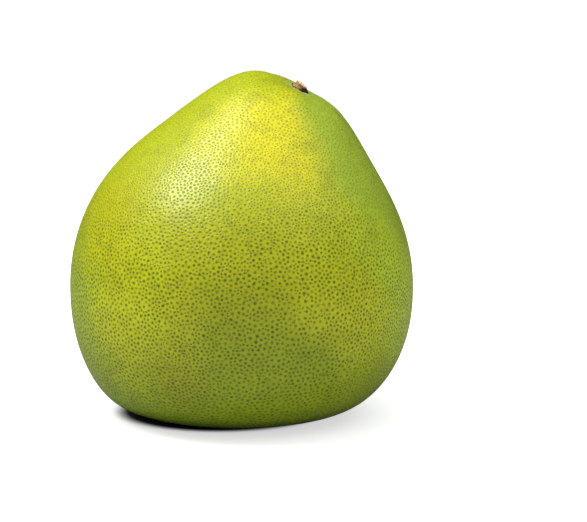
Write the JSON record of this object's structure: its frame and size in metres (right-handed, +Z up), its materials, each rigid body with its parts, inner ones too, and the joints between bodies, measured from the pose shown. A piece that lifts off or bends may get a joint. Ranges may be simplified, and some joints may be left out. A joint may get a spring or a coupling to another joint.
{
  "type": "pomelo",
  "caption": "Whole pomelo fruit, pear-shaped with a tapered neck, standing on its flattened base, with dried calyx and stalk end.",
  "frame": {"origin": "on the floor, below the middle of the fruit's outline", "axes": "+Z up through the fruit from its base towards its neck; +X the way the neck and the stalk lean; +Y completes the frame"},
  "size_m": [0.1558, 0.1566, 0.1558],
  "materials": {
    "rind": "satin",
    "dried_calyx": "matte",
    "stalk_wood": "matte"
  },
  "bodies": {
    "root": {"pomelo_fruit": "rind", "calyx": "dried_calyx", "stalk_stub": "stalk_wood"}
  },
  "joints": []
}
